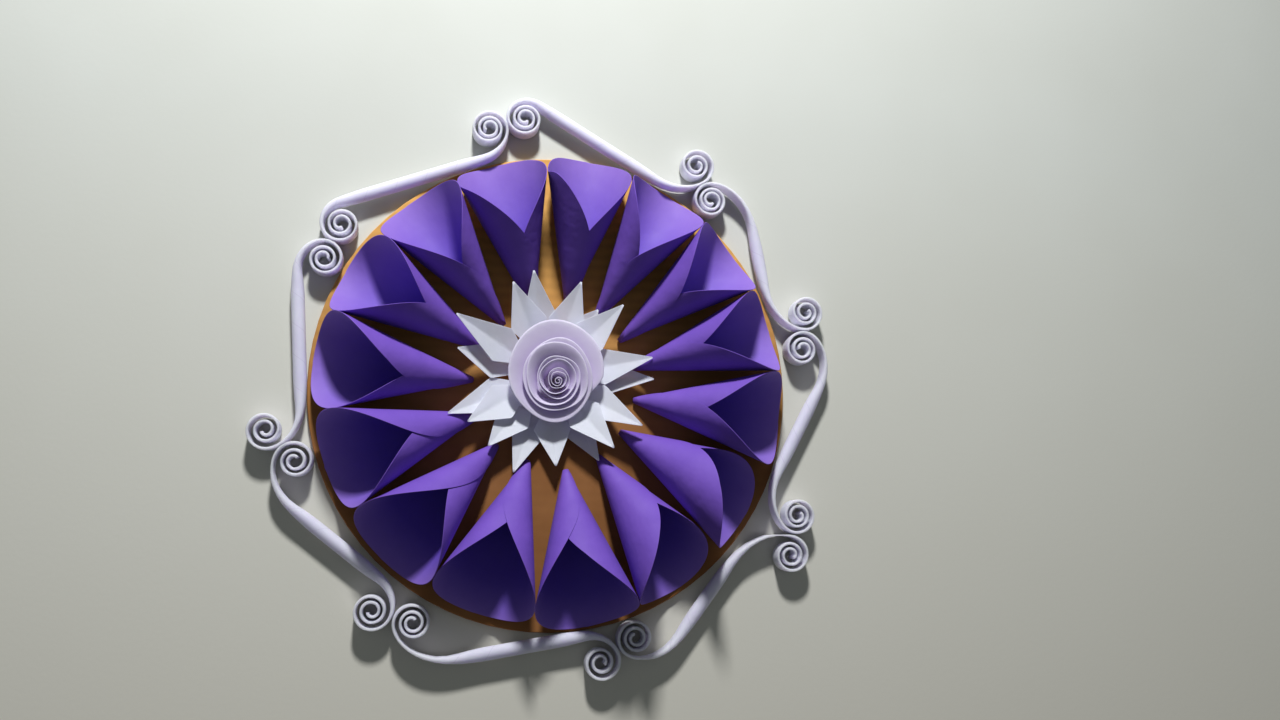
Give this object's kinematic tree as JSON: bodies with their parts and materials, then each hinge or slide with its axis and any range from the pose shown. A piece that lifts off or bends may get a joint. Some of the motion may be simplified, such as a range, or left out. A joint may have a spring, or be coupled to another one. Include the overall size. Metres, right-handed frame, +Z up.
{
  "type": "paper wall hanging",
  "caption": "Round paper wall hanging: a ring of rolled cone petals and a creased star with a rose on a disc, framed by tubes with curled ends.",
  "frame": {"origin": "middle of the disc's back face, which lies against the wall", "axes": "+Z up as it hangs, +Y into the wall out of the disc's back, +X to the viewer's right"},
  "size_m": [0.2988, 0.0489, 0.3032],
  "materials": {
    "cardboard": "matt brown board",
    "purple_paper": "matt coloured paper",
    "white_paper": "matt white paper",
    "lilac_paper": "matt pale paper with a lilac tint"
  },
  "bodies": {
    "root": {"backing_disc": "cardboard", "cone_petal_01": "purple_paper", "cone_petal_02": "purple_paper", "cone_petal_03": "purple_paper", "cone_petal_04": "purple_paper", "cone_petal_05": "purple_paper", "cone_petal_06": "purple_paper", "cone_petal_07": "purple_paper", "cone_petal_08": "purple_paper", "cone_petal_09": "purple_paper", "cone_petal_10": "purple_paper", "cone_petal_11": "purple_paper", "cone_petal_12": "purple_paper", "cone_petal_13": "purple_paper", "cone_petal_14": "purple_paper", "cone_petal_15": "purple_paper", "frame_tube_1": "white_paper", "frame_tube_2": "white_paper", "frame_tube_3": "white_paper", "frame_tube_4": "white_paper", "frame_tube_5": "white_paper", "frame_tube_6": "white_paper", "frame_tube_7": "white_paper", "frame_tube_8": "white_paper", "paper_rose": "lilac_paper", "rose_foot": "lilac_paper", "star_petal_01": "white_paper", "star_petal_02": "white_paper", "star_petal_03": "white_paper", "star_petal_04": "white_paper", "star_petal_05": "white_paper", "star_petal_06": "white_paper", "star_petal_07": "white_paper", "star_petal_08": "white_paper", "star_petal_09": "white_paper", "star_petal_10": "white_paper", "star_petal_11": "white_paper", "star_petal_12": "white_paper", "star_petal_13": "white_paper", "star_petal_14": "white_paper", "star_petal_15": "white_paper", "star_petal_16": "white_paper", "star_petal_17": "white_paper"}
  },
  "joints": []
}
